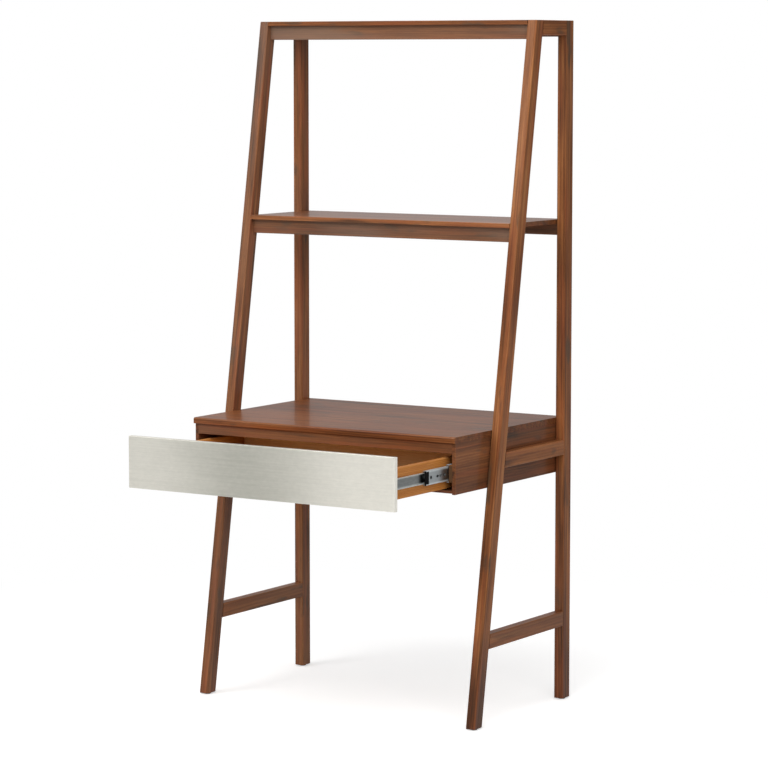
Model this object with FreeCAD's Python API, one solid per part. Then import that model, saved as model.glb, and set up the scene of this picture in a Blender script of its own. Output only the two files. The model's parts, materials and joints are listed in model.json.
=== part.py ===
import FreeCAD, Part
import os

os.makedirs("parts", exist_ok=True)
V = FreeCAD.Vector

# Ladder desk, in millimetres. X runs across, Z up, and the front faces -Y.
# Distances called depth or d are measured forwards from the back faces of the rear posts.

# Side frames
overall_height = 1803.0
overall_width = 864.0
post_width = 27.0
post_depth = 40.0
post_round = 4.0
foot_round = 1.5
front_depth_top = 198.2
front_depth_floor = 499.0
rail_height = 39.0
rail_round = 2.5
foot_rail_z = 200.0
desk_rail_z = 660.0
tenon_thickness = 8.0
tenon_outer_wall = 5.0
tenon_shoulder = 6.0
tenon_length = 18.0
mortise_end_gap = 1.0

# Floor glides
glide_height = 3.0
glide_radius = 9.0
glide_pin_radius = 2.5
glide_pin_length = 14.0

# Shelves
shelf_thickness = 12.0
middle_shelf_top = 1283.0
apron_thickness = 19.0
front_apron_height = 37.0
rear_apron_height = 30.0
front_apron_setback = 17.0
rear_apron_setback = 9.0
edge_round = 1.5

# Wood fixings
hole_gap = 0.3
dowel_radius = 3.0
apron_dowel_length = 30.0
apron_dowel_drop = 10.0
cam_rise = 5.0
cam_radius = 7.5
cam_height = 12.5
cam_end_distance = 34.0
cam_bolt_radius = 3.5
cam_bolt_neck_radius = 2.0
cam_bolt_head = 3.0
cam_bolt_bite = 9.0
cam_slot_width = 1.4
cam_slot_depth = 1.5
screw_radius = 2.0
screw_head_radius = 4.0
screw_head_height = 2.5
screw_grip = 15.0
screw_bite = 8.0
tip_gap = 1.0

# Desk top and box
desk_top_z = 758.0
desk_top_thickness = 16.0
desk_edge_round = 5.0
desk_depth = 553.0
box_overhang_front = 6.0
box_side_gap = 1.5
box_side_thickness = 10.0
box_bottom_z = 611.0
box_bottom_rise = 3.0
box_bottom_thickness = 8.0
box_groove_depth = 4.0
box_back_thickness = 12.0
front_rail_height = 27.0
front_rail_thickness = 18.0
cleat_size = 15.0
box_dowel_length = 24.0
box_dowel_in_side = 6.0
box_dowel_pitch = 12.0
box_bolt_radius = 3.0
box_bolt_head_radius = 5.5
box_bolt_head_height = 3.0
box_bolt_z = 693.0
washer_radius = 7.0
insert_radius = 5.0
insert_length = 10.0

# Telescopic slides: u is measured inwards from the face that the cabinet member is screwed to
slide_z = 664.0
slide_rear_room = 82.0
slide_width = 12.7
slide_setback = 3.0
sheet = 1.2
spacer_thickness = 10.0
spacer_height = 43.0
cabinet_half_height = 22.5
ball_radius = 2.0
race_depth = 0.45
race_gap = 0.12
cage_sheet = 0.6
cage_strip = 0.7
cage_gap = 0.4
cage_share = 0.4
cage_lip = 2.4
balls_per_row = 4
outer_row_u = 6.0
inner_row_u = 8.8
race_margin = 2.2
bend_outside = 2.0
bend_inside = 0.8
middle_shortfall = 50.0
middle_setback = 33.0
bumper_length = 17.0
bumper_grip = 13.0
bumper_wall = 0.8
bumper_round = 0.8
stop_half_height = 6.0
access_radius = 3.0
access_slot = 6.0
latch_radius = 4.5
latch_inset = 24.0
slide_screw_radius = 2.0
slide_screw_head_radius = 3.5
slide_screw_recess = 0.6
slide_screw_length = 17.0
drawer_screw_length = 10.0
slide_screw_inset = 20.0

# Drawer
drawer_open = 275.0
closed_gap = 1.0
drawer_side_thickness = 12.0
drawer_side_height = 79.0
drawer_round = 4.0
drawer_bottom_thickness = 5.0
drawer_bottom_rise = 6.0
drawer_groove_depth = 6.0
front_side_lap = 1.5
front_height = 135.0
front_top_gap = 3.5
front_thickness = 14.0
skin_thickness = 1.2
skin_bend = 1.0
front_screw_bite = 9.0

# Positions worked out from the sizes above
outer_x = overall_width / 2
inner_x = outer_x - post_width
mid_post_x = (inner_x + outer_x) / 2
box_x = inner_x - box_side_gap
box_inner_x = box_x - box_side_thickness
slide_x = box_inner_x - spacer_thickness
drawer_x = slide_x - slide_width
drawer_inner_x = drawer_x - drawer_side_thickness
top_under = desk_top_z - desk_top_thickness
box_front = desk_depth - box_overhang_front
slide_length = box_front - slide_setback - box_back_thickness - slide_rear_room
middle_length = slide_length - middle_shortfall
cage_length = slide_length * cage_share
front_half_width = box_x + front_side_lap
drawer_face_closed = box_front + closed_gap
drawer_face = drawer_face_closed + drawer_open
open_depth = drawer_face + front_thickness
rear_y = open_depth / 2
front_z1 = top_under - front_top_gap
front_z0 = front_z1 - front_height
drawer_z0 = slide_z - drawer_side_height / 2
drawer_z1 = drawer_z0 + drawer_side_height
drawer_back = drawer_face - slide_length
bottom_z0 = box_bottom_z + box_bottom_rise
bottom_z1 = bottom_z0 + box_bottom_thickness
top_rail_z = overall_height - rail_height
rail_heights = {"top_rail": top_rail_z, "desk_rail": desk_rail_z, "foot_rail": foot_rail_z}

# Slide section, worked out from the ball size
ball_space = 2 * (ball_radius - race_depth)
cabinet_race_z = cabinet_half_height - sheet
middle_half_height = cabinet_race_z - ball_space
drawer_half_height = middle_half_height - sheet - ball_space
outer_ball_z = cabinet_race_z - ball_space / 2
inner_ball_z = middle_half_height - sheet - ball_space / 2
outer_cage_u = sheet + cage_gap
middle_u = outer_cage_u + cage_sheet + cage_gap
inner_cage_u = middle_u + sheet + cage_gap
drawer_member_u = slide_width - sheet
cabinet_front = box_front - slide_setback
middle_front = box_front - middle_setback + drawer_open / 2
drawer_member_front = cabinet_front + drawer_open
outer_cage_front = cabinet_front - slide_length / 4 - cage_lip * 3 + drawer_open / 4
inner_cage_front = cabinet_front - slide_length / 4 - middle_setback - bumper_grip + drawer_open * 3 / 4


def block(x0, x1, d0, d1, z0, z1):
    """Box between two X limits, two depths and two heights."""
    return Part.makeBox(x1 - x0, d1 - d0, z1 - z0, V(x0, rear_y - d1, z0))


def rod(radius, length, x, d, z, axis):
    """Round bar that starts at a point and runs along an axis."""
    return Part.makeCylinder(radius, length, V(x, rear_y - d, z), axis)


def prism(outline, x0, x1):
    """Side outline of (depth, height) corners, given thickness along X."""
    corners = [V(x0, rear_y - d, z) for d, z in outline]
    face = Part.Face(Part.makePolygon(corners + corners[:1]))
    return face.extrude(V(x1 - x0, 0, 0))


def mirror(shape):
    """Copy for the other side of the desk."""
    return shape.mirror(V(0, 0, 0), V(1, 0, 0))


def both(shapes):
    """Right-hand shapes followed by their left-hand copies."""
    return list(shapes) + [mirror(s) for s in shapes]


def drill(shape, tools):
    """Shape with every tool taken out of it."""
    return shape.cut(tools) if tools else shape


def round_edges(shape, radius, chosen):
    """Rounds the edges that the test picks."""
    return shape.makeFillet(radius, [e for e in shape.Edges if chosen(e)])


def save(node, shape):
    """Writes one named piece."""
    shape.exportStep("parts/" + node + ".step")


def save_group(node, shapes):
    """Writes equal fasteners as one named group."""
    save(node, Part.makeCompound(shapes))


def save_pair(name, shape):
    """Writes a right-hand piece and its left-hand twin."""
    save("right_" + name, shape)
    save("left_" + name, mirror(shape))


RIGHT = V(1, 0, 0)
LEFT = V(-1, 0, 0)
UP = V(0, 0, 1)
FORWARD = V(0, -1, 0)


# Side frames

def front_face(z):
    """Depth of the leaning front post's front face at a height."""
    return front_depth_top + (front_depth_floor - front_depth_top) * (1 - z / overall_height)


def front_back(z):
    """Depth of the leaning front post's back face at a height."""
    return front_face(z) - post_depth


def between_posts(z0, z1, reach):
    """Outline between the posts that reaches a distance into both of them."""
    rear = post_depth - reach
    return [(rear, z0), (front_back(z0) + reach, z0), (front_back(z1) + reach, z1), (rear, z1)]


def tenon(z0, length):
    """Tongue of a side rail that starts at a height."""
    outline = between_posts(z0 + tenon_shoulder, z0 + rail_height - tenon_shoulder, length)
    return prism(outline, outer_x - tenon_outer_wall - tenon_thickness, outer_x - tenon_outer_wall)


def insert_places():
    """Depths where the box is bolted to the rear and the front post."""
    return [post_depth / 2, front_back(box_bolt_z) + post_depth / 2]


def insert_hole(d):
    """Hole in a post for the sleeve that takes a bolt of the box."""
    return rod(insert_radius + hole_gap, insert_length + tip_gap / 2, inner_x, d, box_bolt_z, RIGHT)


def rail_edge(edge):
    """Picks the edges that run along a side rail."""
    return edge.Length > rail_height * 2


def side_rail(name):
    """Rail between two posts, with a tenon at each end."""
    z0 = rail_heights[name]
    rail = prism(between_posts(z0, z0 + rail_height, 0), inner_x, outer_x)
    rail = round_edges(rail, rail_round, rail_edge)
    return rail.fuse(tenon(z0, tenon_length)).removeSplitter()


def long_edge(edge):
    """Picks the edges that run along a post."""
    return edge.Length > overall_height / 2


def end_edges(height):
    """Test that picks the edges around the end of a post at a height."""
    def chosen(edge):
        return all(abs(v.Z - height) < foot_round / 2 for v in edge.Vertexes)
    return chosen


def post(outline, glide_depth, bolt_depth, fixings):
    """Post with rounded edges, mortises, and holes for its glide, a box bolt and the aprons."""
    shape = round_edges(prism(outline, inner_x, outer_x), post_round, long_edge)
    for height in (glide_height, overall_height):
        shape = round_edges(shape, foot_round, end_edges(height))
    tools = [tenon(z0, tenon_length + mortise_end_gap) for z0 in rail_heights.values()]
    tools.append(insert_hole(bolt_depth))
    tools.append(rod(glide_pin_radius + hole_gap, glide_pin_length + tip_gap,
                     mid_post_x, glide_depth, glide_height, UP))
    for d, z in fixings:
        tools.append(rod(dowel_radius + hole_gap, apron_dowel_length / 2 + tip_gap,
                         inner_x, d, z - apron_dowel_drop, RIGHT))
        tools.append(rod(cam_bolt_radius + hole_gap, cam_bolt_bite + tip_gap,
                         inner_x, d, z + cam_rise, RIGHT))
    return drill(shape, tools)


def glide(d):
    """Floor glide with its pin."""
    disc = rod(glide_radius, glide_height, mid_post_x, d, 0, UP)
    pin = rod(glide_pin_radius, glide_height + glide_pin_length, mid_post_x, d, 0, UP)
    return disc.fuse(pin).removeSplitter()


# Shelves

def shelf_front(top):
    """Depth of a shelf panel: flush with the front posts."""
    return front_face(top - shelf_thickness / 2)


def front_apron_limits(top):
    """Depth and height limits of the apron under a shelf's front edge."""
    z1 = top - shelf_thickness
    z0 = z1 - front_apron_height
    d1 = front_face((z0 + z1) / 2) - front_apron_setback
    return d1 - apron_thickness, d1, z0, z1


def rear_apron_limits(top):
    """Depth and height limits of the apron under a shelf's rear edge."""
    z1 = top - shelf_thickness
    return rear_apron_setback, rear_apron_setback + apron_thickness, z1 - rear_apron_height, z1


def fixing_point(limits):
    """Depth and height of the middle of an apron's end."""
    d0, d1, z0, z1 = limits
    return (d0 + d1) / 2, (z0 + z1) / 2


def shelf_screw_places():
    """X positions of the screws under a shelf."""
    span = inner_x * 2 / 3
    return [-span, 0, span]


def lifting_screw(x, d, z, grip, gap):
    """Screw driven upwards through a piece that ends at height z; gap widens it into its hole."""
    shank = rod(screw_radius + gap, grip + screw_bite + (tip_gap if gap else 0), x, d, z - grip, UP)
    return shank.fuse(rod(screw_head_radius + gap, screw_head_height, x, d, z - grip - screw_head_height, UP))


def counterbore(x, d, z, grip, depth):
    """Room below a lifting screw's head."""
    return rod(screw_head_radius + hole_gap, depth, x, d, z - grip - depth, UP)


def apron(limits):
    """Apron with dowel holes, cam pockets and screw holes."""
    d0, d1, z0, z1 = limits
    d, z = fixing_point(limits)
    dowel = rod(dowel_radius + hole_gap, apron_dowel_length / 2 + tip_gap,
                inner_x, d, z - apron_dowel_drop, LEFT)
    bore = rod(cam_bolt_radius + hole_gap, cam_end_distance + cam_bolt_head, inner_x, d, z + cam_rise, LEFT)
    pocket = rod(cam_radius + hole_gap, cam_height, inner_x - cam_end_distance, d0, z + cam_rise, FORWARD)
    tools = both([dowel, bore, pocket])
    for x in shelf_screw_places():
        tools.append(rod(screw_radius + hole_gap, screw_grip, x, d, z1 - screw_grip, UP))
        tools.append(counterbore(x, d, z1, screw_grip, z1 - z0 - screw_grip))
    board = block(-inner_x, inner_x, d0, d1, z0, z1)
    for depth in (d0, d1):
        board = round_edges(board, edge_round, front_edge(depth, z0))
    return drill(board, tools)


def apron_dowel(limits):
    """Dowel between an apron and a post."""
    d, z = fixing_point(limits)
    x = inner_x - apron_dowel_length / 2
    return rod(dowel_radius, apron_dowel_length, x, d, z - apron_dowel_drop, RIGHT)


def cam_bolt(limits):
    """Bolt from a post into an apron, with a neck and a head for the cam."""
    d, z = fixing_point(limits)
    start = inner_x - cam_end_distance
    head = rod(cam_bolt_radius, cam_bolt_head, start - cam_bolt_head, d, z + cam_rise, RIGHT)
    neck = rod(cam_bolt_neck_radius, cam_radius, start, d, z + cam_rise, RIGHT)
    shank = rod(cam_bolt_radius, cam_end_distance - cam_radius + cam_bolt_bite,
                start + cam_radius, d, z + cam_rise, RIGHT)
    return head.fuse([neck, shank])


def cam_nut(limits):
    """Round cam that grips the bolt's head, with a driver slot at the back."""
    d0 = limits[0]
    d, z = fixing_point(limits)
    x = inner_x - cam_end_distance
    room = cam_bolt_radius + hole_gap
    mouth = block(x - room, x + cam_radius, d - room, d + room, z + cam_rise - room, z + cam_rise + room)
    slot = block(x - cam_radius, x + cam_radius, d0, d0 + cam_slot_depth,
                 z + cam_rise - cam_slot_width / 2, z + cam_rise + cam_slot_width / 2)
    return rod(cam_radius, cam_height, x, d0, z + cam_rise, FORWARD).cut([mouth, slot])


def shelf_screws(limits):
    """Screws that hold a shelf panel down on one apron."""
    d = fixing_point(limits)[0]
    return [lifting_screw(x, d, limits[3], screw_grip, 0) for x in shelf_screw_places()]


def front_edge(depth, height):
    """Test that picks the long edge of a panel at a depth and a height."""
    def at_place(v):
        return abs(rear_y - v.Y - depth) < edge_round / 2 and abs(v.Z - height) < edge_round / 2

    def chosen(edge):
        return edge.Length > inner_x and all(at_place(v) for v in edge.Vertexes)
    return chosen


def shelf(top):
    """Shelf panel between the posts."""
    depth = shelf_front(top)
    panel = block(-inner_x, inner_x, 0, depth, top - shelf_thickness, top)
    for height in (top, top - shelf_thickness):
        panel = round_edges(panel, edge_round, front_edge(depth, height))
    tools = []
    for limits in (front_apron_limits(top), rear_apron_limits(top)):
        d = fixing_point(limits)[0]
        tools += [rod(screw_radius + hole_gap, screw_bite + tip_gap, x, d, top - shelf_thickness, UP)
                  for x in shelf_screw_places()]
    return drill(panel, tools)


# Desk top and box

def cleat_limits():
    """Depths of a cleat, from the box back to the front rail."""
    return box_back_thickness, box_front - front_rail_thickness


def cleat_screw_places():
    """Depths of the screws that hold the desk top on a cleat."""
    d0, d1 = cleat_limits()
    return [d0 + (d1 - d0) * share for share in (0.1, 0.5, 0.9)]


def cleat_screw(d):
    """Screw through a cleat into the desk top."""
    return lifting_screw(box_inner_x - cleat_size / 2, d, top_under, cleat_size, 0)


def side_screw(d):
    """Screw that holds a cleat against the box side."""
    x = box_inner_x - cleat_size
    z = top_under - cleat_size / 2
    shank = rod(screw_radius, cleat_size + box_dowel_in_side, x, d, z, RIGHT)
    return shank.fuse(rod(screw_head_radius, screw_head_height, x - screw_head_height, d, z, RIGHT))


def side_screw_places():
    """Depths of the screws between the cleat screws."""
    d = cleat_screw_places()
    return [(d[0] + d[1]) / 2, (d[1] + d[2]) / 2]


def cleat():
    """Strip that joins the desk top to a box side."""
    d0, d1 = cleat_limits()
    x = box_inner_x - cleat_size / 2
    strip = block(box_inner_x - cleat_size, box_inner_x, d0, d1, top_under - cleat_size, top_under)
    tools = [rod(screw_radius + hole_gap, cleat_size, x, d, top_under - cleat_size, UP)
             for d in cleat_screw_places()]
    tools += [rod(screw_radius + hole_gap, cleat_size, box_inner_x - cleat_size, d,
                  top_under - cleat_size / 2, RIGHT) for d in side_screw_places()]
    return drill(strip, tools)


def desk_top():
    """Top panel that overhangs the box."""
    panel = block(-inner_x, inner_x, 0, desk_depth, top_under, desk_top_z)
    panel = round_edges(panel, desk_edge_round, front_edge(desk_depth, desk_top_z))
    for depth, height in ((desk_depth, top_under), (0, desk_top_z), (0, top_under)):
        panel = round_edges(panel, edge_round, front_edge(depth, height))
    x = box_inner_x - cleat_size / 2
    holes = [rod(screw_radius + hole_gap, screw_bite + tip_gap, x, d, top_under, UP)
             for d in cleat_screw_places()]
    return drill(panel, both(holes))


def box_joints():
    """Depth and height of every dowel between the box side and the pieces across it."""
    rail_d = box_front - front_rail_thickness / 2
    rail_z = top_under - front_rail_height / 2
    back_d = box_back_thickness / 2
    heights = [bottom_z1 + box_dowel_pitch, top_under - box_dowel_pitch * 2]
    ends = [(rail_d, rail_z - box_dowel_pitch / 2), (rail_d, rail_z + box_dowel_pitch / 2)]
    return ends + [(back_d, z) for z in heights]


def joint_dowel(face_x, place):
    """Dowel across a joint at a face, deeper in the end grain than in the side."""
    d, z = place
    return rod(dowel_radius, box_dowel_length, face_x + box_dowel_in_side - box_dowel_length, d, z, RIGHT)


def side_hole(face_x, place):
    """Dowel hole in a side piece."""
    d, z = place
    return rod(dowel_radius + hole_gap, box_dowel_in_side + tip_gap, face_x, d, z, RIGHT)


def end_hole(face_x, place):
    """Dowel hole in the end of a cross piece."""
    d, z = place
    return rod(dowel_radius + hole_gap, box_dowel_length - box_dowel_in_side + tip_gap, face_x, d, z, LEFT)


def slide_screw_places(front):
    """Depths of the three screws of a slide member that starts at a front depth."""
    rear = front - slide_length
    return [rear + slide_screw_inset, (front + rear) / 2, front - slide_screw_inset]


def slide_screw(u, d, length, direction):
    """Flush screw of a slide member; its head fills a recess in the sheet."""
    x = slide_x - u
    head = rod(slide_screw_head_radius, slide_screw_recess, x, d, slide_z, direction)
    return head.fuse(rod(slide_screw_radius, length, x, d, slide_z, direction)).removeSplitter()


def slide_screw_tools(u, d, direction):
    """Recess and hole for a slide screw in the sheet."""
    x = slide_x - u
    return [rod(slide_screw_head_radius + hole_gap / 2, slide_screw_recess, x, d, slide_z, direction),
            rod(slide_screw_radius + hole_gap / 2, slide_width / 2, x, d, slide_z, direction)]


def slide_screw_hole(u, d, length, direction):
    """Hole in the wood for a slide screw."""
    return rod(slide_screw_radius + hole_gap, length + tip_gap, slide_x - u, d, slide_z, direction)


def outer_box_edge(edge):
    """Picks the outer front edge and the outer bottom edge of a box side."""
    def on(values, place):
        return all(abs(value - place) < edge_round / 2 for value in values)
    corners = edge.Vertexes
    low = on([v.Z for v in corners], box_bottom_z)
    front = on([rear_y - v.Y for v in corners], box_front)
    return on([v.X for v in corners], box_x) and (low or front)


def box_side():
    """Side of the box, grooved for the bottom."""
    side = block(box_inner_x, box_x, 0, box_front, box_bottom_z, top_under)
    side = round_edges(side, edge_round, outer_box_edge)
    tools = [block(box_inner_x, box_inner_x + box_groove_depth, 0, box_front, bottom_z0, bottom_z1)]
    tools += [side_hole(box_inner_x, place) for place in box_joints()]
    tools += [rod(box_bolt_radius + hole_gap, box_side_thickness, box_inner_x, d, box_bolt_z, RIGHT)
              for d in insert_places()]
    tools += [slide_screw_hole(sheet, d, slide_screw_length, RIGHT)
              for d in slide_screw_places(cabinet_front)]
    tools += [rod(screw_radius + hole_gap, box_dowel_in_side + tip_gap, box_inner_x, d,
                  top_under - cleat_size / 2, RIGHT) for d in side_screw_places()]
    return drill(side, tools)


def box_bottom():
    """Bottom panel, held in the grooves of the sides."""
    reach = box_inner_x + box_groove_depth
    return block(-reach, reach, 0, box_front, bottom_z0, bottom_z1)


def box_cross_piece(d0, d1, z0, z1):
    """Piece between the box sides with dowel holes in its ends."""
    holes = [end_hole(box_inner_x, p) for p in box_joints() if d0 < p[0] < d1]
    return drill(block(-box_inner_x, box_inner_x, d0, d1, z0, z1), both(holes))


def box_front_rail():
    """Rail above the drawer with its lower front edge rounded."""
    z0 = top_under - front_rail_height
    rail = box_cross_piece(box_front - front_rail_thickness, box_front, z0, top_under)
    return round_edges(rail, edge_round, front_edge(box_front, z0))


def slide_spacer():
    """Strip between the box side and the slide."""
    strip = block(slide_x, box_inner_x, box_front - slide_length - slide_setback, box_front,
                  slide_z - spacer_height / 2, slide_z + spacer_height / 2)
    return drill(strip, [slide_screw_hole(sheet, d, slide_screw_length, RIGHT)
                         for d in slide_screw_places(cabinet_front)])


def box_bolt(d):
    """Bolt from inside the box into a post."""
    length = box_side_thickness + box_side_gap + insert_length
    shank = rod(box_bolt_radius, length, box_inner_x, d, box_bolt_z, RIGHT)
    head = rod(box_bolt_head_radius, box_bolt_head_height,
               box_inner_x - box_bolt_head_height, d, box_bolt_z, RIGHT)
    return shank.fuse(head)


def washer(d):
    """Spacer ring between the box side and a post."""
    ring = rod(washer_radius, box_side_gap, box_x, d, box_bolt_z, RIGHT)
    return ring.cut(rod(box_bolt_radius + hole_gap, box_side_gap, box_x, d, box_bolt_z, RIGHT))


def thread_insert(d):
    """Sleeve in a post that takes a bolt."""
    sleeve = rod(insert_radius, insert_length, inner_x, d, box_bolt_z, RIGHT)
    return sleeve.cut(rod(box_bolt_radius + hole_gap, insert_length, inner_x, d, box_bolt_z, RIGHT))


# Telescopic slides

def slide_block(u0, u1, d0, d1, z0, z1):
    """Box in the slide's own section, on the right-hand side."""
    return block(slide_x - u1, slide_x - u0, d0, d1, slide_z + z0, slide_z + z1)


def along_slide(u, z):
    """Test that picks the lengthwise edges of a slide piece at a place in its section."""
    def at_place(v):
        return abs(slide_x - u - v.X) < sheet / 4 and abs(abs(v.Z - slide_z) - z) < sheet / 4

    def chosen(edge):
        return all(at_place(v) for v in edge.Vertexes) and edge.Length > middle_length / 2
    return chosen


def channel(web, lip, half_height, d0, d1):
    """Bent sheet: a web that starts at one u, and two flanges that reach to another."""
    inward = lip > web
    open_u = web + sheet if inward else web
    closed_u = web if inward else web + sheet
    u0, u1 = sorted((closed_u, lip))
    room = slide_block(min(open_u, lip), max(open_u, lip), d0, d1, sheet - half_height, half_height - sheet)
    shape = slide_block(u0, u1, d0, d1, -half_height, half_height).cut(room)
    shape = round_edges(shape, bend_inside, along_slide(open_u, half_height - sheet))
    return round_edges(shape, bend_outside, along_slide(closed_u, half_height))


def swellings(u, z, side, d0, d1):
    """Ridges that the ball tracks raise on the far side of the sheet: side is 1 above a ball, -1 below."""
    reach = ball_radius + race_gap + sheet
    ridges = []
    for half in (1, -1):
        bar = rod(reach, d1 - d0, slide_x - u, d0, slide_z + half * z, FORWARD)
        z0, z1 = sorted((half * (z + side * ball_space / 2), half * (z + side * reach * 2)))
        ridges.append(bar.common(slide_block(u - reach, u + reach, d0, d1, z0, z1)))
    return ridges


def races(u, z, d0, d1):
    """Ball tracks above and below the middle of the slide."""
    return [rod(ball_radius + race_gap, d1 - d0, slide_x - u, d0, slide_z + h, FORWARD)
            for h in (z, -z)]


def access_slots(u, front, spots):
    """Long holes through a web, at distances behind its front end."""
    tools = []
    for spot in spots:
        ends = [front - spot, front - spot - access_slot]
        tools += [rod(access_radius, sheet, slide_x - u - sheet, d, slide_z, RIGHT) for d in ends]
        tools.append(slide_block(u, u + sheet, ends[1], ends[0], -access_radius, access_radius))
    return tools


def cabinet_member():
    """Outer sheet, screwed to the box, with a stop bent up at its rear end."""
    d0 = cabinet_front - slide_length
    sheet_part = channel(0, outer_row_u + race_margin, cabinet_half_height, d0, cabinet_front)
    stop = slide_block(0, inner_cage_u, d0, d0 + sheet, -stop_half_height, stop_half_height)
    extras = [stop] + swellings(outer_row_u, outer_ball_z, 1, d0, cabinet_front)
    tools = races(outer_row_u, outer_ball_z, d0, cabinet_front)
    for d in slide_screw_places(cabinet_front):
        tools += slide_screw_tools(sheet, d, RIGHT)
    return drill(sheet_part.fuse(extras).removeSplitter(), tools)


def middle_member():
    """Middle sheet that runs between the other two, with a round latch hole near its front."""
    d0 = middle_front - middle_length
    sheet_part = channel(middle_u, inner_row_u + race_margin, middle_half_height, d0, middle_front)
    extras = swellings(outer_row_u, outer_ball_z, -1, d0, middle_front)
    extras += swellings(inner_row_u, inner_ball_z, 1, d0, middle_front)
    tools = races(outer_row_u, outer_ball_z, d0, middle_front)
    tools += races(inner_row_u, inner_ball_z, d0, middle_front)
    spots = [middle_length * share for share in (0.132, 0.165, 0.21, 0.5, 0.75, 0.92)]
    tools += access_slots(middle_u, middle_front, spots)
    web_face = slide_x - middle_u - sheet
    tools.append(rod(latch_radius, sheet, web_face, middle_front - latch_inset, slide_z, RIGHT))
    return drill(sheet_part.fuse(extras).removeSplitter(), tools)


def nose_edge(depth):
    """Test that picks the edges around the bumper's end at a depth."""
    def chosen(edge):
        return all(abs(rear_y - v.Y - depth) < bumper_round / 2 for v in edge.Vertexes)
    return chosen


def middle_bumper():
    """Plastic buffer that clips over the front edge of the middle sheet's web."""
    half = middle_half_height - sheet * 2
    u0 = middle_u - bumper_wall
    u1 = middle_u + sheet + bumper_wall
    d0 = middle_front - bumper_grip
    d1 = d0 + bumper_length
    clip = slide_block(u0, u1, d0, middle_front, -half, half)
    nose = slide_block(u0, u1, middle_front, d1, -middle_half_height, middle_half_height)
    nose = round_edges(nose, bumper_round, nose_edge(d1))
    slot = slide_block(middle_u, middle_u + sheet, d0, middle_front, -half, half)
    return nose.fuse(clip).removeSplitter().cut(slot)


def drawer_member():
    """Inner sheet, screwed to the drawer side."""
    d0 = drawer_member_front - slide_length
    lip = inner_row_u - race_margin
    sheet_part = channel(drawer_member_u, lip, drawer_half_height, d0, drawer_member_front)
    extras = swellings(inner_row_u, inner_ball_z, -1, d0, drawer_member_front)
    tools = races(inner_row_u, inner_ball_z, d0, drawer_member_front)
    for d in slide_screw_places(drawer_member_front):
        tools += slide_screw_tools(drawer_member_u, d, LEFT)
    return drill(sheet_part.fuse(extras).removeSplitter(), tools)


def ball_places(front):
    """Depths of the balls along a cage."""
    pitch = cage_length / balls_per_row
    return [front - pitch * (i + 0.5) for i in range(balls_per_row)]


def cage(web, row_u, ball_z, front):
    """Bent strip that keeps two rows of balls apart."""
    d0 = front - cage_length
    edge = row_u + cage_lip
    half = ball_z + cage_strip / 2
    back = slide_block(web, web + cage_sheet, d0, front, -half, half)
    upper = slide_block(web, edge, d0, front, half - cage_strip, half)
    lower = slide_block(web, edge, d0, front, -half, cage_strip - half)
    shape = back.fuse([upper, lower]).removeSplitter()
    holes = [rod(ball_radius + race_gap, cage_strip, slide_x - row_u, d, slide_z + z - cage_strip / 2, UP)
             for d in ball_places(front) for z in (ball_z, -ball_z)]
    return drill(shape, holes)


def balls(row_u, ball_z, front):
    """Balls of one cage."""
    return [Part.makeSphere(ball_radius, V(slide_x - row_u, rear_y - d, slide_z + z))
            for d in ball_places(front) for z in (ball_z, -ball_z)]


# Drawer

def drawer_joints():
    """Depth and height of the dowels between a drawer side and the pieces across it."""
    heights = [drawer_z0 + drawer_side_height * share for share in (0.35, 0.75)]
    depths = [drawer_face - drawer_side_thickness / 2, drawer_back + drawer_side_thickness / 2]
    return [(d, z) for d in depths for z in heights]


def drawer_groove():
    """Room for the drawer bottom in the four pieces around it."""
    x = drawer_inner_x + drawer_groove_depth
    z0 = drawer_z0 + drawer_bottom_rise
    inset = drawer_side_thickness - drawer_groove_depth
    return block(-x, x, drawer_back + inset, drawer_face - inset, z0, z0 + drawer_bottom_thickness)


def upper_edge(edge):
    """Picks the long edges at the top of a piece of the drawer box."""
    return edge.Length > slide_length / 2 and all(v.Z > drawer_z1 - drawer_round / 2 for v in edge.Vertexes)


def drawer_side():
    """Side of the drawer with a rounded top edge."""
    side = block(drawer_inner_x, drawer_x, drawer_back, drawer_face, drawer_z0, drawer_z1)
    side = round_edges(side, drawer_round, upper_edge)
    tools = [drawer_groove()]
    tools += [side_hole(drawer_inner_x, place) for place in drawer_joints()]
    tools += [slide_screw_hole(drawer_member_u, d, drawer_screw_length, LEFT)
              for d in slide_screw_places(drawer_member_front)]
    return drill(side, tools)


def drawer_cross_piece(d0, d1):
    """Front or back of the drawer box, between the sides."""
    tools = both([end_hole(drawer_inner_x, p) for p in drawer_joints() if d0 < p[0] < d1])
    board = block(-drawer_inner_x, drawer_inner_x, d0, d1, drawer_z0, drawer_z1)
    board = round_edges(board, edge_round, upper_edge)
    return drill(board, tools + [drawer_groove()])


def front_screw_places():
    """X and Z positions of the screws that hold the drawer's outer front."""
    span = drawer_inner_x * 3 / 4
    heights = [drawer_z0 + drawer_side_height * share for share in (0.4, 0.75)]
    return [(x, z) for x in (-span, span) for z in heights]


def front_screw(x, z):
    """Screw from inside the drawer into its outer front."""
    d = drawer_face - drawer_side_thickness
    shank = rod(screw_radius, drawer_side_thickness + front_screw_bite, x, d, z, FORWARD)
    return shank.fuse(rod(screw_head_radius, screw_head_height, x, d - screw_head_height, z, FORWARD))


def drawer_sub_front():
    """Inner front of the drawer box with clearance holes."""
    d0 = drawer_face - drawer_side_thickness
    holes = [rod(screw_radius + hole_gap, drawer_side_thickness, x, d0, z, FORWARD)
             for x, z in front_screw_places()]
    return drill(drawer_cross_piece(d0, drawer_face), holes)


def front_room():
    """Space inside the metal skin of the drawer's outer front."""
    x = front_half_width - skin_thickness
    return block(-x, x, drawer_face, open_depth - skin_thickness,
                 front_z0 + skin_thickness, front_z1 - skin_thickness)


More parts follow.
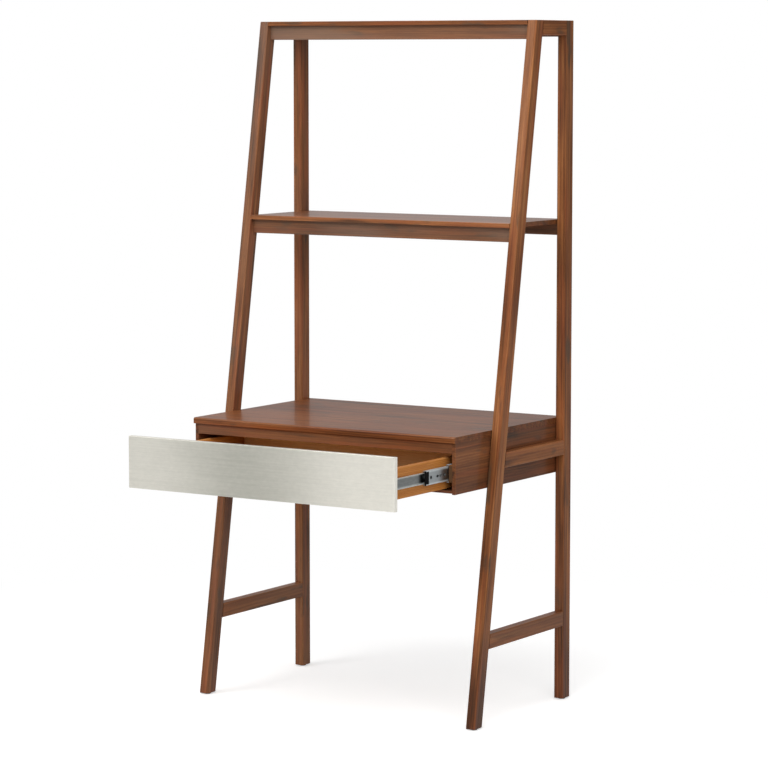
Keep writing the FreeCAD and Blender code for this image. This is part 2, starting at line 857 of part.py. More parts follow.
def front_core():
    """Wooden board inside the drawer's metal skin."""
    holes = [rod(screw_radius + hole_gap, front_screw_bite + tip_gap, x, drawer_face, z, FORWARD)
             for x, z in front_screw_places()]
    return drill(front_room(), holes)


def face_edge(edge):
    """Picks the edges around the drawer's face."""
    return all(abs(rear_y - v.Y - open_depth) < skin_bend / 2 for v in edge.Vertexes)


def front_skin():
    """Metal pan folded over the board's face and edges."""
    pan = block(-front_half_width, front_half_width, drawer_face, open_depth, front_z0, front_z1)
    return round_edges(pan, skin_bend, face_edge).cut(front_room())


# Write the side frames
shelf_tops = (overall_height, middle_shelf_top)
front_aprons = [front_apron_limits(top) for top in shelf_tops]
rear_aprons = [rear_apron_limits(top) for top in shelf_tops]
front_outline = [(front_face(glide_height), glide_height), (front_face(overall_height), overall_height),
                 (front_back(overall_height), overall_height), (front_back(glide_height), glide_height)]
rear_outline = [(0, glide_height), (post_depth, glide_height),
                (post_depth, overall_height), (0, overall_height)]
glide_depths = [front_face(glide_height) - post_depth / 2, post_depth / 2]
rear_bolt, front_bolt = insert_places()
front_fixings = [fixing_point(a) for a in front_aprons]
rear_fixings = [fixing_point(a) for a in rear_aprons]
save_pair("front_post", post(front_outline, glide_depths[0], front_bolt, front_fixings))
save_pair("rear_post", post(rear_outline, glide_depths[1], rear_bolt, rear_fixings))
for rail_name in rail_heights:
    save_pair(rail_name, side_rail(rail_name))
save_group("foot_glides", both([glide(d) for d in glide_depths]))

# Write the shelves
for place, top, front, rear in zip(("top", "middle"), shelf_tops, front_aprons, rear_aprons):
    save(place + "_shelf", shelf(top))
    save(place + "_front_apron", apron(front))
    save(place + "_rear_apron", apron(rear))
aprons = front_aprons + rear_aprons
save_group("apron_dowels", both([apron_dowel(a) for a in aprons]))
save_group("cam_bolts", both([cam_bolt(a) for a in aprons]))
save_group("cam_nuts", both([cam_nut(a) for a in aprons]))
save_group("shelf_screws", [s for a in aprons for s in shelf_screws(a)])

# Write the desk top and the box
save("desk_top", desk_top())
save_pair("box_side", box_side())
save("box_bottom", box_bottom())
save("box_back", box_cross_piece(0, box_back_thickness, bottom_z1, top_under))
save("box_front_rail", box_front_rail())
save_pair("top_cleat", cleat())
save_group("cleat_screws", both([cleat_screw(d) for d in cleat_screw_places()]
                                + [side_screw(d) for d in side_screw_places()]))
save_group("box_dowels", both([joint_dowel(box_inner_x, place) for place in box_joints()]))
save_pair("slide_spacer", slide_spacer())
save_group("box_bolts", both([box_bolt(d) for d in insert_places()]))
save_group("box_washers", both([washer(d) for d in insert_places()]))
save_group("thread_inserts", both([thread_insert(d) for d in insert_places()]))

# Write the slides
save_pair("cabinet_member", cabinet_member())
save_pair("middle_member", middle_member())
save_pair("drawer_member", drawer_member())
save_group("middle_bumpers", both([middle_bumper()]))
save_pair("outer_cage", cage(outer_cage_u, outer_row_u, outer_ball_z, outer_cage_front))
save_pair("inner_cage", cage(inner_cage_u, inner_row_u, inner_ball_z, inner_cage_front))
save_group("outer_balls", both(balls(outer_row_u, outer_ball_z, outer_cage_front)))
save_group("inner_balls", both(balls(inner_row_u, inner_ball_z, inner_cage_front)))
save_group("cabinet_screws", both([slide_screw(sheet, d, slide_screw_length, RIGHT)
                                   for d in slide_screw_places(cabinet_front)]))
save_group("drawer_screws", both([slide_screw(drawer_member_u, d, drawer_screw_length, LEFT)
                                  for d in slide_screw_places(drawer_member_front)]))

# Write the drawer
save_pair("drawer_side", drawer_side())
save("drawer_sub_front", drawer_sub_front())
save("drawer_back", drawer_cross_piece(drawer_back, drawer_back + drawer_side_thickness))
save("drawer_bottom", drawer_groove())
save_group("drawer_dowels", both([joint_dowel(drawer_inner_x, place) for place in drawer_joints()]))
save("drawer_front_core", front_core())
save("drawer_front_skin", front_skin())
save_group("front_screws", [front_screw(x, z) for x, z in front_screw_places()])
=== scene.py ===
# %% [markdown]
# # Dressing a ladder desk
# The real desk is a pair of A-shaped side frames that carry two shelves, a writing top and one
# wide drawer on ball-bearing slides. Every board, screw and ball was already built to size, so
# this lesson is about finish: stained wood, honey-coloured drawer wood, brushed sheet metal,
# zinc, steel and moulded plastic. The boards could be modelled again here, but then two models
# would have to agree; loading the built one as a fixed frame keeps each piece where it belongs.

# %% Load the frame
import json
import math

import bpy
import numpy as np
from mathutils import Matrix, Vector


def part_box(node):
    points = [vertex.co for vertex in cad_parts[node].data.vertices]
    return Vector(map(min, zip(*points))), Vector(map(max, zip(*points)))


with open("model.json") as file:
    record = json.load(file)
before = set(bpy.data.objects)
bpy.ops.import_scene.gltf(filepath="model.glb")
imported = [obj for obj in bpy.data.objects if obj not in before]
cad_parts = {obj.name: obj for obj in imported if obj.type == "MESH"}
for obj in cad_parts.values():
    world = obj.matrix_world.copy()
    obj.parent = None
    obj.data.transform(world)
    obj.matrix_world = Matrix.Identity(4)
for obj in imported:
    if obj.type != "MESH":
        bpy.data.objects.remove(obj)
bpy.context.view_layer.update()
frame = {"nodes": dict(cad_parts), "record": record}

nodes = frame["nodes"]
slot_of = {part["node"]: part["material_slot"] for part in frame["record"]["subparts"]}

# %% [markdown]
# ## Shader maths as plain sums
# Wood grain is a sum of noises, and a sum is hard to read as a web of nodes. One way is to wire
# each Math node by hand. Here a small class wraps a socket, so that `streak * 0.6 + fibre * 0.4`
# adds the Math nodes by itself.

# %% A socket that can be added and multiplied
class Reading:
    """A value that changes over a surface; each sum on it adds one Math node."""

    def __init__(self, recipe, socket):
        self.recipe = recipe
        self.socket = socket

    def sum(self, operation, *terms):
        """One Math node of that operation, with the terms on its inputs in turn."""
        return self.recipe.node("ShaderNodeMath", {"operation": operation}, dict(enumerate(terms)))

    def __add__(self, other):
        return self.sum("ADD", self, other)

    def __sub__(self, other):
        return self.sum("SUBTRACT", self, other)

    def __rsub__(self, other):
        return self.sum("SUBTRACT", other, self)

    def __mul__(self, other):
        return self.sum("MULTIPLY", self, other)

    def __truediv__(self, other):
        return self.sum("DIVIDE", self, other)

    def __rtruediv__(self, other):
        return self.sum("DIVIDE", other, self)

    __radd__ = __add__
    __rmul__ = __mul__


print("sums ready")

# %% [markdown]
# ## Any other node
# Textures, ramps and shaders need settings as well as values. Each kind could get a helper of its
# own, but one method is enough: it takes a node's type, its settings and what goes into its
# sockets, where a number is set and a reading is linked.

# %% A node tree that is filled one node at a time
class Recipe:
    """A node tree that starts empty and is filled one node at a time."""

    def __init__(self, tree):
        self.tree = tree
        tree.nodes.clear()

    def node(self, kind, settings=None, inputs=None, output=0):
        """Adds a node: its settings first, then a value or a link for each named socket."""
        made = self.tree.nodes.new(kind)
        for name, value in (settings or {}).items():
            if name == "stops":
                self.set_stops(made.color_ramp, value)
            else:
                setattr(made, name, value)
        for name, value in (inputs or {}).items():
            if isinstance(value, Reading):
                self.tree.links.new(value.socket, made.inputs[name])
            else:
                made.inputs[name].default_value = value
        return Reading(self, made.outputs[output]) if made.outputs else made

    @staticmethod
    def set_stops(ramp, stops):
        """Gives a colour ramp its list of (place, colour)."""
        while len(ramp.elements) < len(stops):
            ramp.elements.new(1.0)
        for element, (place, colour) in zip(ramp.elements, stops):
            element.position = place
            element.color = colour


def new_finish(name):
    """A new material, and the recipe that fills its node tree."""
    material = bpy.data.materials.new(name)
    material.use_nodes = True
    return material, Recipe(material.node_tree)


print("nodes ready")

# %% [markdown]
# ## Colours as they look on a screen
# A finish is matched against a picture, where colours are written as three numbers up to 255.
# Shaders want the amount of light instead. The standard screen curve turns one into the other,
# and numpy does all three channels at once.

# %% From screen colour to light
def light_of(*screen):
    """Screen values 0-255 to linear light: a straight foot below 0.04045, a power of 2.4 above it."""
    share = np.array(screen, float) / 255
    linear = np.where(share <= 0.04045, share / 12.92, ((share + 0.055) / 1.055) ** 2.4)
    return (*linear.tolist(), 1.0)


print("mid brown as light:", [round(c, 3) for c in light_of(118, 68, 40)])

# %% [markdown]
# ## Where the grain runs
# A board's grain follows its long side, so a pattern has to be turned for each board. The grain
# could be unwrapped onto every face, but real wood is solid: the streaks on a face and the rings
# on its end are the same rings. So the pattern lives in space. A Mapping node turns the object's
# coordinates until the first runs along the board and the second across its width, and moves
# each board to a place of its own, so that no two boards show the same figure.

# %% Turning the pattern along a board
RIGHT_ANGLE = math.pi / 2
post_low, post_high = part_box("left_front_post")
rear_low, rear_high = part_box("left_rear_post")
LEAN = math.atan2((post_high.y - post_low.y) - (rear_high.y - rear_low.y), post_high.z - post_low.z)
LAYS = {
    "across, flat": (0.0, 0.0, 0.0),
    "across, upright": (-RIGHT_ANGLE, 0.0, 0.0),
    "front to back": (-RIGHT_ANGLE, -RIGHT_ANGLE, 0.0),
    "upright": (0.0, RIGHT_ANGLE, 0.0),
    "leaning": (LEAN, RIGHT_ANGLE, 0.0),
}


def board_point(recipe, lay, shift=(0.0, 0.0, 0.0)):
    """The object's coordinates turned so that x follows the grain, and moved by shift."""
    place = recipe.node("ShaderNodeTexCoord", output="Object")
    turned = {"Vector": place, "Rotation": LAYS[lay], "Location": shift}
    return recipe.node("ShaderNodeMapping", inputs=turned)


def height_above(recipe, level):
    """How far a point of the surface lies above a level, in metres."""
    place = recipe.node("ShaderNodeTexCoord", output="Object")
    return recipe.node("ShaderNodeSeparateXYZ", None, {0: place}, "Z") - level


print("front posts lean", round(math.degrees(LEAN), 2), "degrees")

# %% [markdown]
# ## Noise, and what is done with it
# Nearly every finish starts as smooth noise. Drawn out along the grain it becomes fibre, and cut
# off softly it becomes a spot. The nodes could be wired afresh in each finish, but as small
# functions they read like words. Noise runs from 0 to 1, so its middle is taken off before it
# moves a tone up and down.

# %% Noise
MIDDLE = 0.5


def scaled(recipe, point, along, across):
    """A point with its x times along and the other two times across: so many bumps to the metre."""
    sizes = (along, across, across)
    return recipe.node("ShaderNodeVectorMath", {"operation": "MULTIPLY"}, {0: point, 1: sizes})


def noise(recipe, point, detail=3.0, roughness=0.55, output="Fac"):
    """Smooth noise at one bump per unit of the point."""
    values = {"Vector": point, "Scale": 1.0, "Detail": detail, "Roughness": roughness}
    return recipe.node("ShaderNodeTexNoise", None, values, output)


def eased(recipe, value, start, full):
    """0 at start, 1 at full, and an S-curve between them; either of the two may be the higher one."""
    limits = {"Value": value, "From Min": start, "From Max": full}
    return recipe.node("ShaderNodeMapRange", {"interpolation_type": "SMOOTHSTEP"}, limits)


def spots(recipe, point, size, detail, limits):
    """Noise of a size (along, across), cut off softly: 0 at the first limit and 1 at the second."""
    return eased(recipe, noise(recipe, scaled(recipe, point, *size), detail), *limits)


print("noise ready")

# %% [markdown]
# ## From tone to colour
# A finish has one tone from dark to light, and tints that lie over it in places. The tone could
# darken one base colour, but stain also changes its hue as it gets darker, so a ramp of screen
# colours is read at the tone. Each tint then covers the colour by its own share.

# %% Ramps and tints
# Places of the colour sockets on a Mix node, which has others for numbers and vectors.
MIX_SHARE, MIX_FIRST, MIX_SECOND, MIX_RESULT = 0, 6, 7, 2


def blended(recipe, share, first, second):
    """A colour from first to second as share goes from 0 to 1."""
    inputs = {MIX_SHARE: share, MIX_FIRST: first, MIX_SECOND: second}
    return recipe.node("ShaderNodeMix", {"data_type": "RGBA"}, inputs, MIX_RESULT)


def ramped(recipe, tone, stains):
    """The colour at tone on a ramp of (place, screen colour)."""
    stops = [(place, light_of(*stain)) for place, stain in stains]
    return recipe.node("ShaderNodeValToRGB", {"stops": stops}, {"Fac": tone}, "Color")


def tinted(recipe, colour, tints):
    """A colour with each (share, screen colour) laid over it in turn."""
    for share, tint in tints:
        colour = blended(recipe, share, colour, light_of(*tint))
    return colour


print("ramps and tints ready")

# %% [markdown]
# ## Ends and edges
# Where a board is cut across, its open cells drink stain and lacquer, so the end is darker and
# duller. On a rounded edge the sanding takes some stain off, so the edge is lighter; the lighter
# edge is also a painted highlight of the light that the rounded edge catches. Both could be
# painted face by face. Here the surface's own direction tells how much of an end or an edge it is.

# %% Ends and edges
GRAIN_WAYS = {
    "across, flat": (1.0, 0.0, 0.0),
    "across, upright": (1.0, 0.0, 0.0),
    "front to back": (0.0, 1.0, 0.0),
    "upright": (0.0, 0.0, 1.0),
    "leaning": (0.0, math.sin(LEAN), math.cos(LEAN)),
}
END_LIMITS = (0.6, 0.95)
EDGE_LIMITS = (0.975, 0.84)


def end_share(recipe, lay):
    """1 where the surface faces along the grain and 0 along the board: normal dot grain, eased."""
    facing = recipe.node("ShaderNodeTexCoord", output="Normal")
    pair = {0: facing, 1: GRAIN_WAYS[lay]}
    along = recipe.node("ShaderNodeVectorMath", {"operation": "DOT_PRODUCT"}, pair, "Value")
    return eased(recipe, along.sum("ABSOLUTE", along), *END_LIMITS)


def edge_share(recipe):
    """1 on a rounded edge and 0 on a flat face: there the longest of the normal's three parts is near 1."""
    facing = recipe.node("ShaderNodeTexCoord", output="Normal")
    sizes = recipe.node("ShaderNodeVectorMath", {"operation": "ABSOLUTE"}, {0: facing})
    x, y, z = (recipe.node("ShaderNodeSeparateXYZ", None, {0: sizes}, axis) for axis in "XYZ")
    return eased(recipe, x.sum("MAXIMUM", x.sum("MAXIMUM", x, y), z), *EDGE_LIMITS)


print("ends and edges ready")

# %% [markdown]
# ## The stuff of wood
# Seen close up, wood is four things at once: growth rings around a pith that lies outside the
# board, broad streaks of darker heartwood, fine fibres, and open pores like short pen strokes.
# A ready-made wave texture gives rings but they look printed. Here the rings are a sine of the
# distance to a pith line, and the distance is first bent by a slow noise, so that they wander and
# open into arches where the surface cuts them at a slant. The other three are noises drawn out
# along the grain by different amounts.

# %% Rings, streaks, fibres and pores
WANDER = 0.014
TAPER = 0.02
# Bumps to the metre, along the grain and across it.
BENDS, STREAKS, FIBRES, PORES = (1.6, 11.0), (2.4, 62.0), (14.0, 520.0), (55.0, 1900.0)
PORE_LIMITS = (0.60, 0.72)


def wood_readings(recipe, point, lay, ring_pitch, pith):
    """Rings = half of 1 + sin(2 pi distance / pitch), three drawn-out noises, ends and edges."""
    bend = noise(recipe, scaled(recipe, point, *BENDS), 2.0, output="Color")
    bent = recipe.node("ShaderNodeVectorMath", {"operation": "MULTIPLY_ADD"},
                       {0: bend, 1: (WANDER, WANDER, WANDER), 2: point})
    off_pith = recipe.node("ShaderNodeVectorMath", {"operation": "MULTIPLY_ADD"},
                           {0: bent, 1: (TAPER, 1.0, 1.0), 2: (0.0, *pith)})
    distance = recipe.node("ShaderNodeVectorMath", {"operation": "LENGTH"}, {0: off_pith}, "Value")
    wave = distance.sum("SINE", distance * (2 * math.pi / ring_pitch))
    pores = noise(recipe, scaled(recipe, bent, *PORES), 1.0, 0.5)
    return {
        "bent": bent,
        "rings": wave * 0.5 + 0.5,
        "streaks": noise(recipe, scaled(recipe, bent, *STREAKS), 4.0, 0.6),
        "fibres": noise(recipe, scaled(recipe, bent, *FIBRES), 3.0, 0.65),
        "pores": eased(recipe, pores, *PORE_LIMITS),
        "ends": end_share(recipe, lay),
        "edges": edge_share(recipe),
    }


print("wood readings ready")

# %% [markdown]
# ## Lacquer
# The stained wood and the drawer's wood carry a thin lacquer over a rougher base: it mirrors the
# posts softly in the desk top, and the pores only dent it a little. A second, clear shader mixed
# on top would do, but the principled shader has a coat of its own. The coat is the same all over a
# board, so it is set as plain numbers. A coat of 0 leaves a bare, dull surface, which suits chip
# board and plastic too.

# %% Lacquer
COAT_ROUGHNESS = 0.10
COAT_IOR = 1.45
BARE_SHINE, COAT_SHINE = 0.02, 0.4
PORE_DEPTH = 0.0006


def lacquered(recipe, colour, roughness, height, coat, bump):
    """A principled shader with a varying colour, roughness and bump under a constant thin coat."""
    dents = {"Strength": bump, "Distance": PORE_DEPTH, "Height": height}
    normal = recipe.node("ShaderNodeBump", None, dents)
    surface = recipe.node("ShaderNodeBsdfPrincipled", None, {
        "Base Color": colour, "Roughness": roughness, "Normal": normal,
        "Specular IOR Level": BARE_SHINE + coat * COAT_SHINE,
        "Coat Weight": coat, "Coat Roughness": COAT_ROUGHNESS, "Coat IOR": COAT_IOR})
    recipe.node("ShaderNodeOutputMaterial", None, {"Surface": surface})


print("lacquer ready")

# %% [markdown]
# ## The tone of a stained board
# The frame, shelves and desk are a reddish-brown hardwood whose streaks run from tan to nearly
# black. One noise could set how dark each place is, but a real board is uneven at every scale. So
# its tone adds up broad clouds, streaks, thin veins, rings and fibres. Wide panels are glued from
# staves that each have a tone of their own, and a post may get darker towards the floor as a
# painted shade.

# %% The tone of a stained board
STAVE_WIDTH = 0.074
CLOUDS, VEINS = (3.0, 7.0), (4.0, 170.0)
# How far each part of the figure moves the tone.
STREAK_PULL, RING_PULL, FIBRE_PULL, STAVE_PULL = 0.56, 0.06, 0.15, 0.12
# Where the painted shade towards the floor starts, and over how far below it deepens.
FADE_START, FADE_REACH = 0.25, 0.15


def stave_tones(recipe, point):
    """One number per glued stave: the place across the panel, cut into whole steps, through white noise."""
    across = recipe.node("ShaderNodeSeparateXYZ", None, {0: point}, "Y")
    step = across.sum("FLOOR", across / STAVE_WIDTH)
    return recipe.node("ShaderNodeTexWhiteNoise", {"noise_dimensions": "1D"}, {"W": step}, "Value")


def stained_tone(recipe, point, wood, look):
    """The middle of the ramp plus the look's lift, moved by each part of the figure around its own middle."""
    figure = (wood["streaks"] - MIDDLE) * STREAK_PULL + (wood["rings"] - MIDDLE) * RING_PULL
    tone = figure + (wood["fibres"] - MIDDLE) * FIBRE_PULL + (MIDDLE + look["lift"])
    if look["staves"]:
        tone = tone + (stave_tones(recipe, point) - MIDDLE) * STAVE_PULL
    # Darker towards the floor: a painted shade.
    if look["fade"]:
        above = height_above(recipe, FADE_START)
        below = above.sum("MAXIMUM", above.sum("MINIMUM", above, 0.0), -FADE_REACH)
        tone = tone + below * look["fade"]
    clouds = noise(recipe, scaled(recipe, point, *CLOUDS), 2.0)
    veins = noise(recipe, scaled(recipe, wood["bent"], *VEINS), 2.0)
    return tone + (clouds - MIDDLE) * look["cloud"] + (veins - MIDDLE) * look["vein"]


print("staves are", STAVE_WIDTH, "m wide")

# %% [markdown]
# ## Stained wood
# Two colours mixed by noise would look like plastic, so the tone picks from a ramp of five browns.
# Rare dark flames and knots cross the streaks, pores and ends hold more stain, edges hold less
# stain and carry a painted highlight, and red heartwood comes and goes along a board. A grey veil
# in patches is a painted sheen of the pale surroundings in the lacquer. Each is a tint with a share.

# %% Stained wood
STAINS = [(0.20, (48, 27, 15)), (0.37, (86, 49, 26)), (0.50, (115, 68, 37)), (0.62, (137, 86, 48)),
          (0.80, (166, 112, 68))]
STAINED_RINGS = 0.0061
# Each figure: bumps to the metre along and across the grain, detail, and where it starts and is full.
FLAMES = ((2.6, 30.0), 3.0, (0.58, 0.71))
KNOTS = ((7.0, 26.0), 2.0, (0.61, 0.70))
REDS = ((3.2, 60.0), 2.0, (0.48, 0.64))
SHEEN_PATCHES = ((2.2, 12.0), 2.0, (0.38, 0.62))
# How much painted sheen the grey patches carry: at least, and more on top.
SHEEN_LEAST, SHEEN_MORE = 0.6, 0.8
STAINED_ROUGHNESS, STAINED_BUMP = 0.34, 0.12


def stained_wood(name, lay, shift, pith, look):
    """A stained board: the look sets its tone, how red it is, how much painted grey sheen it has, and its
    coat.
    """
    material, recipe = new_finish(name)
    point = board_point(recipe, lay, shift)
    wood = wood_readings(recipe, point, lay, STAINED_RINGS, pith)
    painted_sheen = spots(recipe, point, *SHEEN_PATCHES) * SHEEN_MORE + SHEEN_LEAST
    colour = tinted(recipe, ramped(recipe, stained_tone(recipe, point, wood, look), STAINS), [
        (spots(recipe, wood["bent"], *FLAMES) * 0.65, (44, 33, 23)),
        (spots(recipe, wood["bent"], *KNOTS) * 0.55, (58, 54, 44)),
        (wood["pores"] * 0.40, (38, 21, 12)),
        (wood["ends"] * 0.20, (40, 22, 12)),
        # Lighter rounded edges: less stain from sanding, and a painted highlight.
        (wood["edges"] * 0.10, (176, 112, 62)),
        (spots(recipe, wood["bent"], *REDS) * look["red"], (148, 74, 42)),
        # Painted sheen: grey patches where the lacquer would mirror the pale surroundings.
        (painted_sheen * look["grey"], (112, 98, 86)),
    ])
    roughness = STAINED_ROUGHNESS + wood["fibres"] * 0.12 + wood["pores"] * 0.10 + wood["ends"] * 0.15
    height = wood["fibres"] * 0.25 - wood["pores"]
    lacquered(recipe, colour, roughness, height, look["coat"], STAINED_BUMP)
    return material


print(len(STAINS), "stains on the ramp")

# %% [markdown]
# ## Each board's own look
# Boards of one desk come from different trees and planks. One look for all would be simpler, but
# the real desk has darker box sides and redder, more veined posts. So a usual look holds for every
# board, and a table says only what differs. A look's grey is a painted sheen, strongest on the
# aprons.

# %% The boards and their looks
BOARD_LAYS = {
    "across, flat": ["top_shelf", "middle_shelf", "desk_top", "box_bottom"],
    "across, upright": ["top_front_apron", "top_rear_apron", "middle_front_apron", "middle_rear_apron",
                        "box_back", "box_front_rail"],
    "front to back": ["left_top_rail", "right_top_rail", "left_desk_rail", "right_desk_rail",
                      "left_foot_rail", "right_foot_rail", "left_box_side", "right_box_side",
                      "left_top_cleat", "right_top_cleat"],
    "upright": ["left_rear_post", "right_rear_post"],
    "leaning": ["left_front_post", "right_front_post"],
}
GLUED_PANELS = {"top_shelf", "middle_shelf", "desk_top", "box_bottom", "left_box_side", "right_box_side",
                "box_back"}
GLOSSY, SATIN = 0.22, 0.14
SATIN_BOARDS = ("post", "rail", "side", "cleat")
USUAL_LOOK = {"lift": 0.0, "fade": 0.0, "grey": 0.0, "red": 0.2, "cloud": 0.26, "vein": 0.15}
POST_LOOK = {"cloud": 0.40, "vein": 0.55}
BOX_SIDE_LOOK = {"lift": -0.09, "grey": 0.06, "cloud": 0.12}
DESK_RAIL_LOOK = {"lift": 0.03, "grey": 0.03}
LOOKS = {
    "top_shelf": {"lift": -0.06},
    "middle_shelf": {"lift": 0.01, "coat": 0.38},
    "desk_top": {"lift": -0.06},
    # The box bottom is darkened as a painted shade.
    "box_bottom": {"lift": -0.10},
    "top_front_apron": {"grey": 0.44, "cloud": 0.10},
    "middle_front_apron": {"lift": -0.04, "grey": 0.38},
    "middle_rear_apron": {"lift": -0.08, "grey": 0.22},
    "box_front_rail": {"lift": -0.06, "grey": 0.18},
    "left_box_side": BOX_SIDE_LOOK,
    "right_box_side": BOX_SIDE_LOOK,
    "left_desk_rail": DESK_RAIL_LOOK,
    "right_desk_rail": DESK_RAIL_LOOK,
    "left_foot_rail": {"lift": 0.04, "grey": 0.16},
    "right_foot_rail": {"lift": 0.02, "grey": 0.08},
    "left_front_post": {"lift": -0.01, "grey": 0.20, "red": 0.4, **POST_LOOK},
    "right_front_post": {"lift": 0.06, "fade": 1.6, "grey": 0.04, "red": 0.2, **POST_LOOK},
    "left_rear_post": {"lift": 0.02, "grey": 0.14, "red": 0.4, **POST_LOOK},
    "right_rear_post": {"lift": 0.01, "fade": 1.4, "grey": 0.04, "red": 0.25, **POST_LOOK},
}
print(len(LOOKS), "boards with a look of their own")

# %% [markdown]
# ## Dressing the boards
# A dressed board is the built piece with a new material in its slot; its shape is left alone. Each
# board gets its own place in the pattern and its own pith. These could be typed in one by one, but
# dice with a fixed seed give the same places on every run.

# %% Dressing the boards
SPREAD = 4.0
PITH_NEAR, PITH_FAR = 0.05, 0.12
LIFT_SPREAD = 0.02
dice = np.random.default_rng(11)


def own_place():
    """A random place in the pattern, up to SPREAD metres away each way."""
    return tuple(dice.uniform(-SPREAD, SPREAD, 3))


def dress(node, material):
    """Makes one material the only one of a node's mesh."""
    mesh = nodes[node].data
    mesh.materials.clear()
    mesh.materials.append(material)


for lay, boards in BOARD_LAYS.items():
    for board in boards:
        shift = own_place()
        off_board = dice.uniform(PITH_NEAR, PITH_FAR, 2) * dice.choice([-1, 1], 2)
        pith = tuple(np.array(shift[1:]) * -1 + off_board)
        coat = SATIN if board.endswith(SATIN_BOARDS) else GLOSSY
        look = {**USUAL_LOOK, "coat": coat, "staves": board in GLUED_PANELS, **LOOKS.get(board, {})}
        look["lift"] += dice.uniform(-LIFT_SPREAD, LIFT_SPREAD)
        dress(board, stained_wood("stained_" + board, lay, shift, pith, look))
print(sum(len(boards) for boards in BOARD_LAYS.values()), "boards of stained wood")

# %% [markdown]
# ## The drawer's lighter wood
# The drawer box and the strips that space the slides are an unstained, honey-coloured wood with a
# clear lacquer. It is the same kind of stuff with other colours, tighter rings and hardly any
# dark figure, so the readings are used again and only the ramp and the amounts change.

# %% Plain wood
PLAIN_RINGS = 0.0034
PLAIN_PITH = (0.07, 0.05)
PLAIN_ROUGHNESS, PLAIN_BUMP = 0.38, 0.10


def plain_wood(name, lay, shift, stains, coat, ends):
    """A quiet wood: streaks and fibres through a ramp, faint rings, short pores, ends darker by a share."""
    material, recipe = new_finish(name)
    point = board_point(recipe, lay, shift)
    pith = (PLAIN_PITH[0] - shift[1], PLAIN_PITH[1] - shift[2])
    wood = wood_readings(recipe, point, lay, PLAIN_RINGS, pith)
    tone = wood["streaks"] * 0.55 + wood["rings"] * 0.10 + wood["fibres"] * 0.35
    colour = tinted(recipe, ramped(recipe, tone, stains), [
        (wood["pores"] * 0.35, (92, 52, 22)),
        (wood["ends"] * ends, (72, 52, 36)),
        # Lighter rounded edges: sanded, and a painted highlight.
        (wood["edges"] * 0.12, (236, 190, 140)),
    ])
    roughness = PLAIN_ROUGHNESS + wood["fibres"] * 0.16
    height = wood["fibres"] * 0.3 - wood["pores"]
    lacquered(recipe, colour, roughness, height, coat, PLAIN_BUMP)
    return material


print("plain wood ready")

# %% [markdown]
# ## Honey, birch and beech
# The drawer's sides and inner front and the spacers are honey-coloured. All of the drawer could
# be, but the back and bottom of a drawer are often made of something paler, so they are birch,
# and dowels are turned from bare beech. The spacers end in the drawer's opening, where their cut
# ends are darker end grain and are darkened much further as a painted shade.

# %% Drawer boards and dowels
HONEYS = [(0.25, (118, 66, 27)), (0.45, (165, 103, 48)), (0.60, (184, 122, 60)), (0.80, (203, 148, 86))]
BIRCHES = [(0.25, (188, 138, 92)), (0.45, (218, 172, 122)), (0.60, (232, 190, 142)), (0.80, (242, 208, 166))]
BEECHES = [(0.25, (170, 126, 84)), (0.50, (196, 154, 108)), (0.75, (214, 178, 134))]
HONEY_LAYS = {
    "across, upright": {"drawer_sub_front": HONEYS, "drawer_back": BIRCHES},
    "across, flat": {"drawer_bottom": BIRCHES},
    "front to back": {"left_drawer_side": HONEYS, "right_drawer_side": HONEYS, "left_slide_spacer": HONEYS,
                      "right_slide_spacer": HONEYS},
}
DOWEL_LAYS = {"apron_dowels": "across, flat", "box_dowels": "front to back", "drawer_dowels": "front to back"}
DRAWER_COAT, BARE = 0.10, 0.0
DRAWER_ENDS, SPACER_ENDS_AND_SHADE, DOWEL_ENDS = 0.4, 0.95, 0.3

for lay, boards in HONEY_LAYS.items():
    for board, stains in boards.items():
        # The spacers' ends are darkened far past end grain alone: a painted shade in the opening.
        ends = SPACER_ENDS_AND_SHADE if "spacer" in board else DRAWER_ENDS
        dress(board, plain_wood("honey_" + board, lay, own_place(), stains, DRAWER_COAT, ends))
for node, lay in DOWEL_LAYS.items():
    dress(node, plain_wood("beech_" + node, lay, own_place(), BEECHES, BARE, DOWEL_ENDS))
print(sum(len(boards) for boards in HONEY_LAYS.values()), "drawer boards and", len(DOWEL_LAYS), "dowel sets")

# %% [markdown]
# ## Pressed board inside the drawer front
# Behind the metal skin sits a board of pressed chips. Chips are cells with a colour each. Noise
# would blur them into clouds, but a Voronoi texture gives flat cells, stretched a little because
# chips lie flat.

# %% Chip board
CHIPS = (260.0, 420.0)
CHIP_ROUGHNESS, CHIP_BUMP = 0.7, 0.2


def chip_board(name):
    """Cells about 4 by 2 mm, each a shade of tan by its own random colour, raised in the middle."""
    material, recipe = new_finish(name)
    point = scaled(recipe, board_point(recipe, "across, upright"), *CHIPS)
    cells = recipe.node("ShaderNodeTexVoronoi", None, {"Vector": point, "Scale": 1.0}, "Color")
    shade = recipe.node("ShaderNodeSeparateColor", None, {0: cells}, 0)
    colour = blended(recipe, shade, light_of(140, 104, 66), light_of(186, 150, 104))
    off_middle = recipe.node("ShaderNodeTexVoronoi", None, {"Vector": point, "Scale": 1.0}, "Distance")
    lacquered(recipe, colour, CHIP_ROUGHNESS + shade * 0.15, 1 - off_middle, BARE, CHIP_BUMP)
    return material


dress("drawer_front_core", chip_board("chip_board"))
print("core dressed")

# %% [markdown]
# ## Brushed sheet on the drawer front
# The front is a thin pale metal sheet, brushed from side to side. A soft cloudy darker band left of
# the middle and a lighter right end are painted reflection. Anisotropic reflection would need a
# tangent for each face. Long thin scratches in the bump do the same job: they tilt the reflection
# up and down but not sideways, and they survive when the finish is baked for other programs. Where
# the sheet is folded round its right end it is made less metallic, so that it shows lighter: a
# painted highlight.

